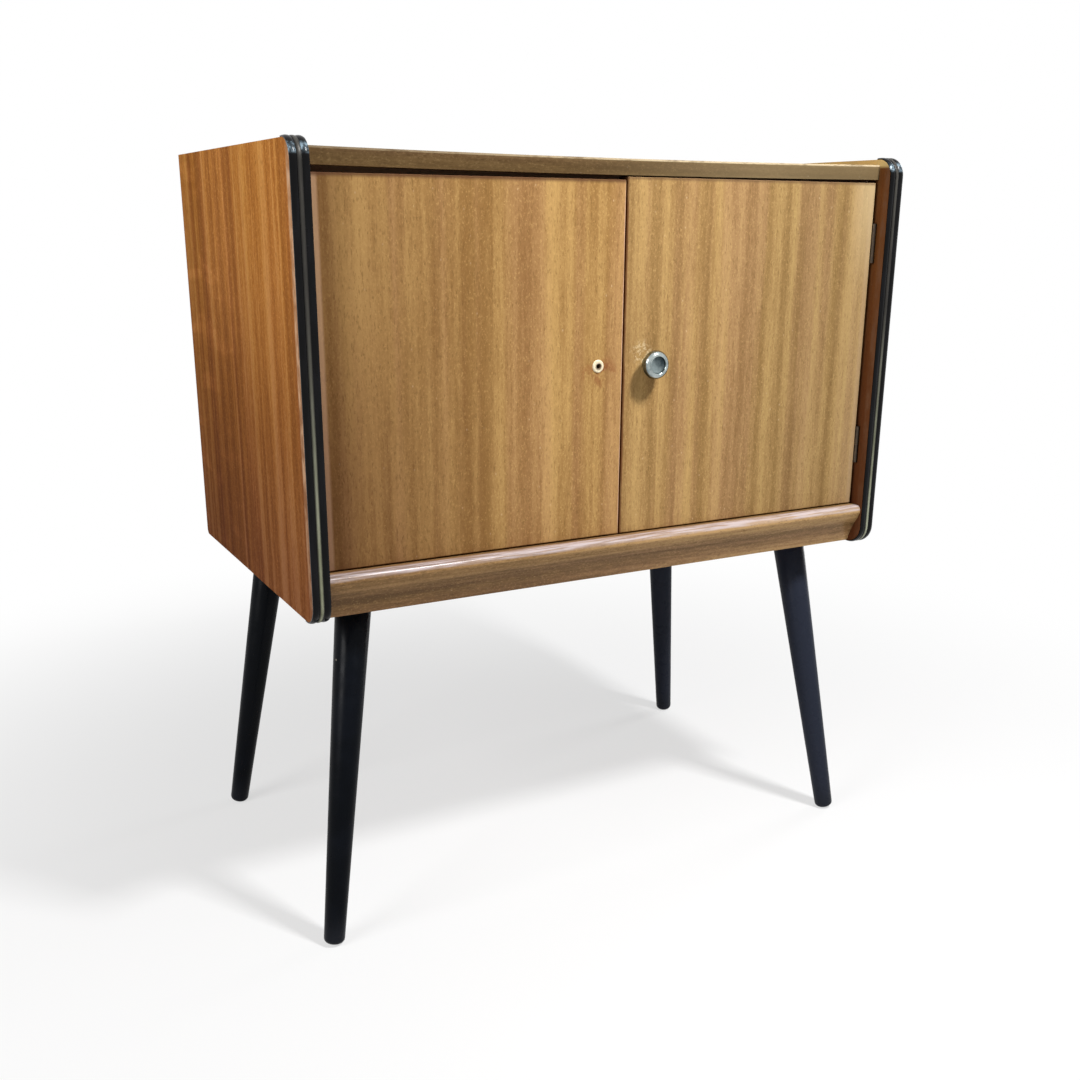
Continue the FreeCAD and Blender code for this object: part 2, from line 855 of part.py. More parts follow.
def make_leg_plate(y, outward):
    """A pressed plate: flat flange, slanted wedge for the leg's top, and the stud."""
    half = plate_size / 2
    short = half - plate_corner_cut
    outline = [
        (leg_top_x + a, y + b)
        for a, b in [(short, -half), (half, -short), (half, short), (short, half),
                     (-short, half), (-half, short), (-half, -short), (-short, -half)]
    ]
    flange = slab(polygon(outline, in_xy(underside_height - plate_thick)), Vector(0, 0, plate_thick))
    side = plate_wedge_size
    corner = Vector(-side / 2, -side / 2, -plate_thick)
    wedge = Part.makeBox(side, side, leg_seat_run + plate_thick, corner)
    axis = leg_axis(outward)
    wedge.Placement = Placement(leg_top(y), Rotation(Vector(0, 0, 1), axis)) * wedge.Placement
    above = block(leg_top_x - half, leg_top_x + half, y - half, y + half,
                  underside_height, underside_height + half)
    return flange.multiFuse([wedge.cut(above), stud(y, outward, 0)]).removeSplitter()


# ---------------------------------------------------------------- write every piece

def save_pair(name, shape):
    """Writes the right-hand piece and its mirror image."""
    save(name + "_right", shape)
    save(name + "_left", mirrored(shape))


save_pair("side_panel", make_side_panel())
save_pair("edge_moulding", make_edge_moulding())
save_pair("gold_bead", make_gold_bead())
save("top_panel", make_top_panel())
save("stop_batten", make_stop_batten())
save("front_rail", make_front_rail())
save("floor_panel", make_floor_panel())
save("back_panel", make_back_panel())
save("loose_tongues", Part.makeCompound(both_sides(side_tongues(0))))
save_pair("leg_batten", make_leg_batten())

save("divider_rack", make_divider_rack())
for number, place in enumerate(divider_places(), start=1):
    save("record_divider_" + str(number), make_divider(place))

legs = [make_leg(leg_y, outward) for leg_y, outward in leg_rows.values()]
save("legs", Part.makeCompound(both_sides(legs)))
for row, (leg_y, outward) in leg_rows.items():
    save_pair("leg_plate_" + row, make_leg_plate(leg_y, outward))

save("door_right", make_right_door())
save("door_left", make_left_door())
for level, middle in hinge_heights.items():
    save_pair("hinge_side_leaf_" + level, make_side_leaf(middle))
    save_pair("hinge_door_leaf_" + level, make_door_leaf(middle))
pins = [make_hinge_pin(middle) for middle in hinge_heights.values()]
save("hinge_pins", Part.makeCompound(both_sides(pins)))

save("lock_case", make_lock_case())
save("lock_cap", make_lock_cap())
save("lock_bolt", make_lock_bolt())
save("key_bush", make_key_bush())
save("lock_strike", make_strike())

save("knob", make_knob())
save("knob_insert", make_knob_insert())

for level, (face, up) in {"upper": (upper_bolt_face(), 1), "lower": (floor_upper, -1)}.items():
    save("slide_plate_" + level, make_slide_plate(face, up))
    save("slide_bar_" + level, make_slide_bar(face, up))
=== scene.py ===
import math

import bmesh
import bpy
from mathutils import Matrix, Vector


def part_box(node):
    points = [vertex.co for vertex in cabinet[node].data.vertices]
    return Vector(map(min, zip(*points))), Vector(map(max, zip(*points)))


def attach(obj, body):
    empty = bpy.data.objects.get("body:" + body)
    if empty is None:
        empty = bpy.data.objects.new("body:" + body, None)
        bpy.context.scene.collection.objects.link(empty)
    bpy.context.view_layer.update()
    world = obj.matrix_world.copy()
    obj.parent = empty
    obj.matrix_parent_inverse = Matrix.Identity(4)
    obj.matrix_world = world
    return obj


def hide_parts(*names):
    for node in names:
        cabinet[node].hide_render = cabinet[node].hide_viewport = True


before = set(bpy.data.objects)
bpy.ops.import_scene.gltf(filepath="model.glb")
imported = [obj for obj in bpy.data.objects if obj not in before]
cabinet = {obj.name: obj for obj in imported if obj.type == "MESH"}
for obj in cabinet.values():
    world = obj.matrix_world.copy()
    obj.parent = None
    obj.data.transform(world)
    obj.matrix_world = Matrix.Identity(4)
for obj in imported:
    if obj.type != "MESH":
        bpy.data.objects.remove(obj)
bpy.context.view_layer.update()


# ------------------------------------------------------------------ camera
# It stands to the left of the cabinet, a little lower than its top, and looks down and to the
# right. The axis of the lens is below the middle of the frame.
eye = Vector((-0.638, -1.18735, 0.6915))
turn, dip, roll = math.radians(28.88), math.radians(-17.31), math.radians(0.43)
ahead = Vector((math.sin(turn) * math.cos(dip), math.cos(turn) * math.cos(dip), math.sin(dip)))
level = Vector((math.cos(turn), -math.sin(turn), 0))
upright = level.cross(ahead)
to_right = level * math.cos(roll) + upright * math.sin(roll)
to_top = upright * math.cos(roll) - level * math.sin(roll)

frame_side = 1080                       # pixels, across and down
focal_length = 1211.22                  # in the same pixels
axis_across, axis_down = 548.27, 595.33
lens = bpy.data.cameras.new("camera")
lens.sensor_width = 36
lens.lens = lens.sensor_width * focal_length / frame_side
lens.shift_x = (frame_side / 2 - axis_across) / frame_side
lens.shift_y = (axis_down - frame_side / 2) / frame_side
camera = bpy.data.objects.new("camera", lens)
bpy.context.scene.collection.objects.link(camera)
camera.matrix_world = Matrix((
    (to_right.x, to_top.x, -ahead.x, eye.x),
    (to_right.y, to_top.y, -ahead.y, eye.y),
    (to_right.z, to_top.z, -ahead.z, eye.z),
    (0, 0, 0, 1),
))
bpy.context.scene.camera = camera
bpy.context.scene.view_settings.view_transform = "Standard"


# ------------------------------------------------------------------ side panels
# Two veneered boards with rounded front corners. The veneer's ribbon stripe stands upright, under
# a satin lacquer that has worn pale along the front edge. Painted shade darkens each side towards
# the bottom and the back, and a painted sheen lightens a band above mid-height. The inner faces
# are a plainer, redder veneer, painted dark as shade below the top and pale as light above it.

def rgb(red, green, blue):
    """A colour from the 0 to 255 values of a paint chart, as the shader wants it."""
    def linear(value):
        value = value / 255
        return value / 12.92 if value <= 0.04045 else ((value + 0.055) / 1.055) ** 2.4
    return (linear(red), linear(green), linear(blue), 1)


def step(tree, kind, inputs=None, **settings):
    """A node of a tree. Each input is a value or another node's output."""
    node = tree.nodes.new(kind)
    for name, value in settings.items():
        setattr(node, name, value)
    for name, value in (inputs or {}).items():
        if isinstance(value, bpy.types.NodeSocket):
            tree.links.new(value, node.inputs[name])
        else:
            node.inputs[name].default_value = value
    return node


def add(finish, kind, inputs=None, **settings):
    """A node of a finish."""
    return step(finish.node_tree, "ShaderNode" + kind, inputs, **settings)


def new_finish(name, roughness, **sockets):
    """A finish with its shader, whose plain values sit on the shader's own sockets."""
    finish = bpy.data.materials.new(name)
    finish.use_nodes = True
    shader = finish.node_tree.nodes["Principled BSDF"]
    shader.inputs["Roughness"].default_value = roughness
    for socket, value in sockets.items():
        shader.inputs[socket.replace("_", " ")].default_value = value
    return finish, shader


def spread(finish, value, low, high, out_low=0.0, out_high=1.0):
    """A value moved smoothly from one range to another, and held at the ends."""
    ranged = add(finish, "MapRange", {
        "Value": value, "From Min": low, "From Max": high, "To Min": out_low, "To Max": out_high,
    }, interpolation_type="SMOOTHSTEP")
    return ranged.outputs["Result"]


def blend(finish, share, first, second, way="MIX"):
    """Two colours mixed, each a colour or another node's output."""
    mix = add(finish, "Mix", data_type="RGBA", blend_type=way)
    for socket, value in ((0, share), (6, first), (7, second)):
        if isinstance(value, bpy.types.NodeSocket):
            finish.node_tree.links.new(value, mix.inputs[socket])
        else:
            mix.inputs[socket].default_value = value
    return mix.outputs[2]


def sums(finish, way, first, second=0.0):
    """Two values added or compared, or one worked on by itself."""
    return add(finish, "Math", {0: first, 1: second}, operation=way).outputs[0]


def product(finish, first, *others):
    """Values multiplied in turn."""
    for other in others:
        first = sums(finish, "MULTIPLY", first, other)
    return first


def tinted(finish, share, colour, tint):
    """A colour with a share of it multiplied by a tint."""
    return blend(finish, share, colour, blend(finish, 1.0, colour, tint, "MULTIPLY"))


def feed(finish, shader, **sockets):
    """Links what was worked out to the shader's own sockets."""
    for socket, value in sockets.items():
        finish.node_tree.links.new(value, shader.inputs[socket.replace("_", " ")])


def relief(finish, shader, height, strength, depth):
    """Fine relief in the surface, from a pattern."""
    bump = add(finish, "Bump", {"Height": height, "Strength": strength, "Distance": depth})
    feed(finish, shader, Normal=bump.outputs[0])


def where(finish, place=(0, 0, 0), scale=(1, 1, 1)):
    """The piece's own coordinates, moved and scaled."""
    own = add(finish, "TexCoord").outputs["Object"]
    return add(finish, "Mapping", {"Vector": own, "Location": place, "Scale": scale}).outputs[0]


def noise(finish, at, scale, detail=2.0, roughness=0.5):
    """A cloudy pattern from 0 to 1."""
    found = add(finish, "TexNoise", {
        "Vector": at, "Scale": scale, "Detail": detail, "Roughness": roughness,
    })
    return found.outputs["Fac"]


def stretched(along, much):
    """Scales that draw a pattern out along X, Y or Z."""
    return tuple(much if axis == along else 1 for axis in "xyz")


def flecks(finish, at, scale, rim, chance, channel="Red"):
    """Round spots in some cells of a pattern: where a spot fades out, and which cells have one."""
    cells = add(finish, "TexVoronoi", {"Vector": at, "Scale": scale, "Randomness": 1.0})
    chosen = add(finish, "SeparateColor", {"Color": cells.outputs["Color"]}).outputs[channel]
    return product(finish, spread(finish, cells.outputs["Distance"], *rim, 1, 0),
                   spread(finish, chosen, *chance))


def wooden(name, along, dark, middle, light, seed, stripe=70, contrast=1.0, roughness=0.45,
           coat=0.06, specks=0.5):
    """Ribbon-striped veneer: soft stripes, short pores, a rosy tint and pale specks of dust."""
    finish, shader = new_finish(name, roughness, Coat_Weight=coat, Coat_Roughness=0.22,
                                Specular_IOR_Level=0.0)
    shift = (seed, seed * 0.7, seed * 0.3)

    def drawn(much, scale, detail=2.0, rough=0.6):
        """A pattern drawn out along the grain."""
        return noise(finish, where(finish, shift, stretched(along, much)), scale, detail, rough)

    broad = drawn(0.015, stripe, rough=0.5)
    fine = drawn(0.04, stripe * 4)
    ribbon = drawn(0.16, 380)
    grain = drawn(0.22, 900)
    mottle = drawn(0.6, 620, 3.0, 0.75)
    cloud = drawn(0.4, 9, 3.0)

    tone = product(finish, broad, 0.46)
    for pattern, part in ((fine, 0.14), (ribbon, 0.12), (mottle, 0.14), (cloud, 0.14)):
        tone = sums(finish, "ADD", tone, product(finish, pattern, part))
    tone = spread(finish, tone, 0.5 - 0.13 / contrast, 0.5 + 0.13 / contrast)
    ramp = add(finish, "ValToRGB", {"Fac": tone})
    ramp.color_ramp.elements[0].color = dark
    ramp.color_ramp.elements[1].color = light
    ramp.color_ramp.elements.new(0.5).color = middle
    colour = ramp.outputs["Color"]

    aside = tuple(value + 9 for value in shift)
    rosy = noise(finish, where(finish, aside, stretched(along, 0.03)), 38)
    colour = tinted(finish, spread(finish, rosy, 0.42, 0.64, 0, 0.7), colour, rgb(244, 236, 255))
    pores = spread(finish, grain, 0.55, 0.70, 0, 0.45)
    colour = blend(finish, pores, colour, tuple(value * 0.6 for value in dark[:3]) + (1,))
    dust = spread(finish, mottle, 0.54, 0.72, 0, 0.40)
    dusty = tuple(min(1, value * 1.25) for value in light[:3]) + (1,)
    colour = blend(finish, dust, colour, dusty)
    dotted = where(finish, shift, stretched(along, 0.6))
    speck = flecks(finish, dotted, 170, (0.04, 0.16), (0.76, 1.0))
    colour = blend(finish, product(finish, speck, specks), colour, rgb(222, 196, 158))

    relief(finish, shader, grain, 0.10, 0.0002)
    rough = spread(finish, mottle, 0.3, 0.7, roughness - 0.06, roughness + 0.08)
    feed(finish, shader, Roughness=rough)
    return finish, shader, colour


def coordinate(finish, axis):
    """One of the piece's own coordinates, in metres."""
    own = add(finish, "TexCoord").outputs["Object"]
    return add(finish, "SeparateXYZ", {"Vector": own}).outputs["xyz".index(axis)]


def wear(node, finish):
    """Puts a finish on a node."""
    cabinet[node].material_slots[0].material = finish


def side_veneer(name, outward, seed):
    finish, shader, colour = wooden(
        name, "z", rgb(150, 90, 34), rgb(189, 122, 51), rgb(218, 155, 77), seed, stripe=60,
        coat=0.03)
    height, across, depth = (coordinate(finish, axis) for axis in "zxy")
    # Painted shade: each side darkens towards the bottom.
    low = spread(finish, height, 0.26, 0.82, 1, 0)
    colour = tinted(finish, low, colour, rgb(174, 164, 216))
    # Painted shade: each side darkens towards the back.
    rear_shade = spread(finish, depth, -0.18, 0.19, 0, 1)
    colour = tinted(finish, rear_shade, colour, rgb(220, 214, 200))
    # Painted sheen: a lighter, bluish band at mid-depth above mid-height, standing in for a
    # reflection.
    sheen_band = product(finish, spread(finish, depth, -0.03, 0.02, 0.2, 1),
                   spread(finish, depth, 0.06, 0.15, 1, 0.2))
    painted_sheen = product(finish, sheen_band, spread(finish, height, 0.50, 0.66))
    colour = tinted(finish, painted_sheen, colour, (1.42, 1.55, 2.1, 1))
    figure = noise(finish, where(finish, (6, 0, 0), (1, 0.22, 1)), 48, 2.0)
    shimmer = product(finish, spread(finish, figure, 0.50, 0.70),
                      spread(finish, depth, -0.06, 0.12, 0, 0.8))
    colour = tinted(finish, shimmer, colour, (1.30, 1.32, 1.5, 1))
    fore = product(finish, spread(finish, depth, -0.1880, -0.1835, 1, 0),
                   spread(finish, height, 0.36, 0.55, 0.4, 1))
    patchy = spread(finish, noise(finish, where(finish, (3, 0, 0), (1, 1, 0.35)), 110, 3.0, 0.7),
                    0.40, 0.66, 0.25, 0.9)
    colour = blend(finish, product(finish, fore, patchy), colour, rgb(220, 178, 142))
    # Painted shade and light: the inner face is dark below the top and pale above it, where light
    # reaches it.
    inner = spread(finish, product(finish, across, outward), 0.3112, 0.3116, 1, 0)
    upper = spread(finish, height, 0.7425, 0.7465)
    inner_shade_and_light = blend(finish, upper, rgb(84, 48, 28), rgb(222, 196, 132))
    colour = blend(finish, inner, colour, blend(finish, 0.88, colour, inner_shade_and_light))
    feed(finish, shader, Base_Color=colour)
    return finish


wear("side_panel_left", side_veneer("side veneer left", -1, 3.1))
wear("side_panel_right", side_veneer("side veneer right", 1, 5.7))


# ------------------------------------------------------------------ edge mouldings
# A black plastic strip with two convex ribs is pressed into a groove all round the front edge of
# each side. Its gloss has dulled, and it is chipped in places. Pale bluish patches where it turns
# over the top are a painted highlight.

def black_moulding():
    finish, shader = new_finish("black moulding", 0.2, Specular_IOR_Level=0.12)
    along = noise(finish, where(finish, scale=(1, 1, 0.15)), 160, 3.0)
    colour = blend(finish, spread(finish, along, 0.4, 0.7), rgb(4, 4, 5), rgb(12, 12, 15))
    chip = flecks(finish, where(finish), 34, (0.05, 0.075), (0.82, 0.84))
    colour = blend(finish, chip, colour, rgb(190, 180, 160))
    height = coordinate(finish, "z")
    # Painted highlight: pale bluish patches where the strip turns over the top.
    bend_highlight = product(finish, spread(finish, height, 0.7385, 0.7430),
                      spread(finish, height, 0.7445, 0.7500, 1, 0))
    patchy = spread(finish, noise(finish, where(finish, (5, 0, 0)), 260), 0.40, 0.62, 0.1, 0.8)
    colour = blend(finish, product(finish, bend_highlight, patchy), colour, rgb(150, 172, 186))
    feed(finish, shader, Base_Color=colour)
    dull = spread(finish, noise(finish, where(finish), 90, 4.0, 0.6), 0.35, 0.7, 0.14, 0.30)
    feed(finish, shader, Roughness=dull)
    return finish


moulding_finish = black_moulding()
for side in ("left", "right"):
    wear("edge_moulding_" + side, moulding_finish)


# ------------------------------------------------------------------ gold beads
# A thin gold strip lies between the ribs. Its metallic face has dulled; it is dark grey towards the
# top and a paler olive grey lower down, and has rubbed to bare pale spots. Painted shade darkens
# both its edges beside the ribs.

low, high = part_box("gold_bead_right")
bead_middle = (low.x + high.x) / 2


def gold_strip():
    finish, shader = new_finish("gold bead", 0.42, Metallic=0.25, Specular_IOR_Level=0.2)
    along = noise(finish, where(finish, scale=(1, 1, 0.12)), 120, 3.0, 0.6)
    wear_and_sheen = spread(finish, along, 0.3, 0.7)
    colour = blend(finish, wear_and_sheen, rgb(42, 40, 37), rgb(68, 66, 61))
    # The strip is dark grey towards the top and a paler olive grey lower down.
    lower = spread(finish, coordinate(finish, "z"), 0.36, 0.62, 1, 0)
    olive = blend(finish, wear_and_sheen, rgb(108, 110, 86), rgb(150, 152, 130))
    colour = blend(finish, lower, colour, olive)
    spots = spread(finish, noise(finish, where(finish, (7, 0, 0)), 240, 1.0), 0.74, 0.80)
    colour = blend(finish, spots, colour, rgb(160, 156, 142))
    # Painted shade: the bead darkens towards both edges, beside the ribs.
    aside = sums(finish, "ABSOLUTE", coordinate(finish, "x"))
    from_middle = sums(finish, "ABSOLUTE", sums(finish, "SUBTRACT", aside, bead_middle))
    colour = blend(finish, spread(finish, from_middle, 0.0006, 0.0016, 0, 0.85), colour,
                   rgb(30, 28, 26))
    feed(finish, shader, Base_Color=colour)
    return finish


bead_finish = gold_strip()
for side in ("left", "right"):
    wear("gold_bead_" + side, bead_finish)


# ------------------------------------------------------------------ top, stop batten and rail
# The top is a veneered board let in between the sides, with its grain lengthways and a worn arris.
# Behind the doors' upper edge hangs a plain batten, and below them lies the round-nosed rail.

bow_rate = 0.0207                       # the top's rise from its middle, over x squared


def top_veneer():
    finish, shader, colour = wooden(
        "top veneer", "x", rgb(118, 88, 52), rgb(146, 112, 68), rgb(172, 138, 88), 1.9, stripe=60)
    forward = spread(finish, coordinate(finish, "y"), -0.1777, -0.1772, 1, 0)
    colour = tinted(finish, forward, colour, rgb(172, 177, 188))
    across = coordinate(finish, "x")
    bow = product(finish, across, across, bow_rate)
    level = sums(finish, "SUBTRACT", coordinate(finish, "z"), bow)
    crown = spread(finish, level, 0.7425, 0.7433)
    near = spread(finish, coordinate(finish, "y"), -0.1745, -0.1710, 1, 0)
    worn = noise(finish, where(finish, (5, 0, 0), (0.25, 1, 1)), 160, 3.0, 0.7)
    wear_and_sheen = spread(finish, worn, 0.34, 0.52, 0.35, 1)
    right = spread(finish, across, -0.28, 0.12, 0.3, 1)
    pale = product(finish, crown, wear_and_sheen, right, near)
    colour = blend(finish, pale, colour, rgb(204, 184, 150))
    # The front edge is paler towards the right.
    paler_rightwards = product(finish, forward, spread(finish, across, -0.1, 0.2, 0, 0.35),
                    spread(finish, level, 0.7435, 0.7425))
    colour = blend(finish, paler_rightwards, colour, rgb(150, 134, 100))
    # Painted shade: the front edge darkens at its right end, by the side panel.
    corner_shade = product(finish, forward, spread(finish, across, 0.16, 0.26, 0, 0.4),
                     spread(finish, level, 0.7435, 0.7400))
    colour = blend(finish, corner_shade, colour, rgb(92, 76, 50))
    feed(finish, shader, Base_Color=colour)
    return finish


def rail_veneer():
    finish, shader, colour = wooden(
        "rail veneer", "x", rgb(108, 82, 50), rgb(148, 116, 75), rgb(180, 145, 98), 8.3, stripe=90,
        contrast=0.9, roughness=0.32, coat=0.3, specks=0.3)
    left = spread(finish, coordinate(finish, "x"), -0.30, 0.20, 1, 0)
    colour = tinted(finish, left, colour, rgb(234, 228, 220))
    # Painted highlight: a pale streaky band along the top of the nose.
    high = spread(finish, coordinate(finish, "z"), 0.3785, 0.3815)
    back = spread(finish, coordinate(finish, "y"), -0.1850, -0.1800, 1, 0)
    nose_highlight_streaks = noise(finish, where(finish, (2, 0, 0), (0.06, 1, 1)), 420)
    wear_and_sheen = product(finish, high, back, spread(finish, nose_highlight_streaks, 0.36, 0.62, 0.25, 0.8))
    colour = blend(finish, wear_and_sheen, colour, rgb(196, 184, 186))
    feed(finish, shader, Base_Color=colour)
    return finish


def plain_wood(name, along, dark, light, seed):
    finish, shader, colour = wooden(
        name, along, dark, light, light, seed, stripe=80, roughness=0.6, coat=0.0, specks=0.1)
    feed(finish, shader, Base_Color=colour)
    return finish


wear("top_panel", top_veneer())
wear("front_rail", rail_veneer())
# The batten is painted paler than its wood, as painted light where it shows in the gap above the
# doors.
wear("stop_batten",
     plain_wood("stop batten wood", "x", rgb(160, 128, 102), rgb(190, 158, 130), 2.2))


# ------------------------------------------------------------------ floor, back and dividers
# The floor is a stained board, the back a sheet of hardboard pinned into rebates, and the dividers
# are hardboard that slides into grooves in the floor and notches of a batten.

def hardboard(name, light, dark):
    finish, shader = new_finish(name, 0.55)
    fibres = noise(finish, where(finish), 700, 4.0, 0.75)
    cloud = noise(finish, where(finish, (4, 1, 2)), 9, 3.0)
    both = sums(finish, "ADD", product(finish, fibres, 0.6), product(finish, cloud, 0.4))
    colour = blend(finish, spread(finish, both, 0.38, 0.62), dark, light)
    feed(finish, shader, Base_Color=colour)
    relief(finish, shader, fibres, 0.15, 0.0002)
    return finish


wear("floor_panel", plain_wood("floor board", "x", rgb(92, 60, 38), rgb(124, 84, 54), 6.1))
wear("back_panel", hardboard("back hardboard", rgb(132, 98, 66), rgb(104, 74, 48)))
divider_finish = hardboard("divider hardboard", rgb(112, 78, 50), rgb(84, 56, 36))
divider_count = 5
for number in range(divider_count):
    wear("record_divider_%d" % (number + 1), divider_finish)
batten_finish = plain_wood("batten wood", "y", rgb(160, 124, 84), rgb(186, 152, 108), 4.4)
for node in ("leg_batten_left", "leg_batten_right"):
    wear(node, batten_finish)
rack_finish = plain_wood("rack wood", "x", rgb(150, 116, 78), rgb(176, 142, 100), 9.4)
wear("divider_rack", rack_finish)
wear("loose_tongues", rack_finish)


# ------------------------------------------------------------------ slotted screws and pins
# Screws hold the leg plates, hinges, lock and bolts; round-headed pins hold the back. The heads
# are domed, and each slot stands as the screwdriver left it.

def bare_steel(name, tone, roughness, pitted):
    finish, shader = new_finish(name, roughness, Metallic=1.0)
    stain = spread(finish, noise(finish, where(finish), 260, 4.0, 0.65), 0.42, 0.72)
    colour = blend(finish, product(finish, stain, pitted), tone, rgb(104, 88, 70))
    feed(finish, shader, Base_Color=colour)
    rough = spread(finish, noise(finish, where(finish, (3, 0, 0)), 420), 0.3, 0.7,
                   roughness - 0.08, roughness + 0.12)
    feed(finish, shader, Roughness=rough)
    return finish


screw_steel = bare_steel("screw steel", rgb(168, 166, 160), 0.36, 0.6)


def tree_with(name, inputs):
    """An empty Geometry Nodes tree with named inputs for its sizes."""
    tree = bpy.data.node_groups.new(name, "GeometryNodeTree")
    tree.interface.new_socket("Geometry", in_out="INPUT", socket_type="NodeSocketGeometry")
    sockets = {}
    for label, kind in inputs:
        sockets[label] = tree.interface.new_socket(
            label, in_out="INPUT", socket_type="NodeSocket" + kind)
    tree.interface.new_socket("Geometry", in_out="OUTPUT", socket_type="NodeSocketGeometry")
    return tree, tree.nodes.new("NodeGroupInput"), tree.nodes.new("NodeGroupOutput"), sockets


def times(tree, first, second):
    return step(tree, "ShaderNodeMath", {0: first, 1: second}, operation="MULTIPLY").outputs[0]


def size_of(tree, x, y, z):
    return step(tree, "ShaderNodeCombineXYZ", {"X": x, "Y": y, "Z": z}).outputs[0]


screws, given, result, screw_sockets = tree_with("slotted screws", [
    ("Head radius", "Float"), ("Head height", "Float"), ("Seed", "Int"), ("Finish", "Material")])
ball = step(screws, "GeometryNodeMeshUVSphere", {"Segments": 20, "Rings": 12, "Radius": 1.0})
dome = step(screws, "GeometryNodeTransform", {
    "Geometry": ball.outputs["Mesh"],
    "Scale": size_of(screws, given.outputs["Head radius"], given.outputs["Head radius"],
                     given.outputs["Head height"]),
})
blade = step(screws, "GeometryNodeMeshCube", {"Size": size_of(
    screws, times(screws, given.outputs["Head radius"], 2.4),
    times(screws, given.outputs["Head radius"], 0.26), given.outputs["Head height"])})
raised = step(screws, "GeometryNodeTransform", {
    "Geometry": blade.outputs["Mesh"],
    "Translation": size_of(screws, 0.0, 0.0, times(screws, given.outputs["Head height"], 0.78)),
})
slotted = step(screws, "GeometryNodeMeshBoolean", {
    "Mesh 1": dome.outputs[0], "Mesh 2": raised.outputs[0]}, operation="DIFFERENCE")
facing = step(screws, "GeometryNodeInputNamedAttribute", {"Name": "facing"},
              data_type="FLOAT_VECTOR")
aimed = step(screws, "FunctionNodeAlignRotationToVector", {"Vector": facing.outputs[0]}, axis="Z")
chance = step(screws, "FunctionNodeRandomValue", {
    "Min": (0, 0, 0), "Max": (0, 0, 3.14), "Seed": given.outputs["Seed"]}, data_type="FLOAT_VECTOR")
by_chance = step(screws, "FunctionNodeEulerToRotation", {"Euler": chance.outputs[0]})
spun = step(screws, "FunctionNodeRotateRotation", {
    "Rotation": aimed.outputs[0], "Rotate By": by_chance.outputs[0],
}, rotation_space="LOCAL")
driven = step(screws, "GeometryNodeInstanceOnPoints", {
    "Points": given.outputs["Geometry"], "Instance": slotted.outputs[0],
    "Rotation": spun.outputs[0]})
screw_body = step(screws, "GeometryNodeRealizeInstances", {"Geometry": driven.outputs[0]})
painted = step(screws, "GeometryNodeSetMaterial", {
    "Geometry": screw_body.outputs[0], "Material": given.outputs["Finish"]})
screws.links.new(painted.outputs[0], result.inputs[0])


def finished(name, mesh, crease, body):
    """A smooth piece with its creases kept, riding on its body."""
    for face in mesh.polygons:
        face.use_smooth = True
    mesh.set_sharp_from_angle(angle=math.radians(crease))
    piece = bpy.data.objects.new(name, mesh)
    bpy.context.scene.collection.objects.link(piece)
    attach(piece, body)
    return piece


def grown(name, places, tree, sockets, sizes, body):
    """What a tree makes on a mesh of places, as a plain mesh that rides on its body."""
    holder = bpy.data.objects.new(name + " places", places)
    bpy.context.scene.collection.objects.link(holder)
    modifier = holder.modifiers.new("tree", "NODES")
    modifier.node_group = tree
    for label, value in sizes.items():
        modifier[sockets[label].identifier] = value
    seen = holder.evaluated_get(bpy.context.evaluated_depsgraph_get())
    mesh = bpy.data.meshes.new_from_object(seen)
    mesh.name = name
    bpy.data.objects.remove(holder)
    return finished(name, mesh, 40, body)


def drive(name, body, radius, height, places, seed):
    """Screws at places, each a point and the way its head faces, in metres."""
    mesh = bpy.data.meshes.new(name + " places")
    mesh.from_pydata([point for point, way in places], [], [])
    ways = mesh.attributes.new("facing", "FLOAT_VECTOR", "POINT")
    for number, (point, way) in enumerate(places):
        ways.data[number].vector = way
    grown(name, mesh, screws, screw_sockets, {
        "Head radius": radius, "Head height": height, "Seed": seed, "Finish": screw_steel,
    }, body)


pins, given, result, pin_sockets = tree_with("back pins", [
    ("Width", "Float"), ("Height", "Float"), ("Spacing", "Float"), ("Head radius", "Float"),
    ("Centre", "Vector"), ("Finish", "Material")])
outline = step(pins, "GeometryNodeCurvePrimitiveQuadrilateral", {
    "Width": given.outputs["Width"], "Height": given.outputs["Height"]})
spaced = step(pins, "GeometryNodeResampleCurve", {
    "Curve": outline.outputs[0], "Length": given.outputs["Spacing"]}, mode="LENGTH")
head = step(pins, "GeometryNodeMeshUVSphere", {"Segments": 12, "Rings": 6, "Radius": 1.0})
flat_head = step(pins, "GeometryNodeTransform", {
    "Geometry": head.outputs["Mesh"],
    "Scale": size_of(pins, given.outputs["Head radius"], given.outputs["Head radius"],
                     times(pins, given.outputs["Head radius"], 0.3)),
})
set_in = step(pins, "GeometryNodeInstanceOnPoints", {
    "Points": spaced.outputs[0], "Instance": flat_head.outputs[0]})
pin_body = step(pins, "GeometryNodeRealizeInstances", {"Geometry": set_in.outputs[0]})
stood = step(pins, "GeometryNodeTransform", {
    "Geometry": pin_body.outputs[0], "Translation": given.outputs["Centre"],
    "Rotation": (math.pi / 2, 0, 0)})
pin_paint = step(pins, "GeometryNodeSetMaterial", {
    "Geometry": stood.outputs[0], "Material": given.outputs["Finish"]})
pins.links.new(pin_paint.outputs[0], result.inputs[0])

low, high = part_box("back_panel")
inset_aside, inset_up = 0.004, 0.006    # the rows of pins, in from the panel's edges
grown("back_pins", bpy.data.meshes.new("back_pins places"), pins, pin_sockets, {
    "Width": high.x - low.x - 2 * inset_aside, "Height": high.z - low.z - 2 * inset_up,
    "Spacing": 0.07, "Head radius": 0.0016, "Centre": (0, high.y, (low.z + high.z) / 2),
    "Finish": screw_steel,
}, "carcass")


# ------------------------------------------------------------------ leg plates
# A zinc-plated pressed plate with a slanted seat is screwed under each batten with four screws, and
# its stud runs into the leg.

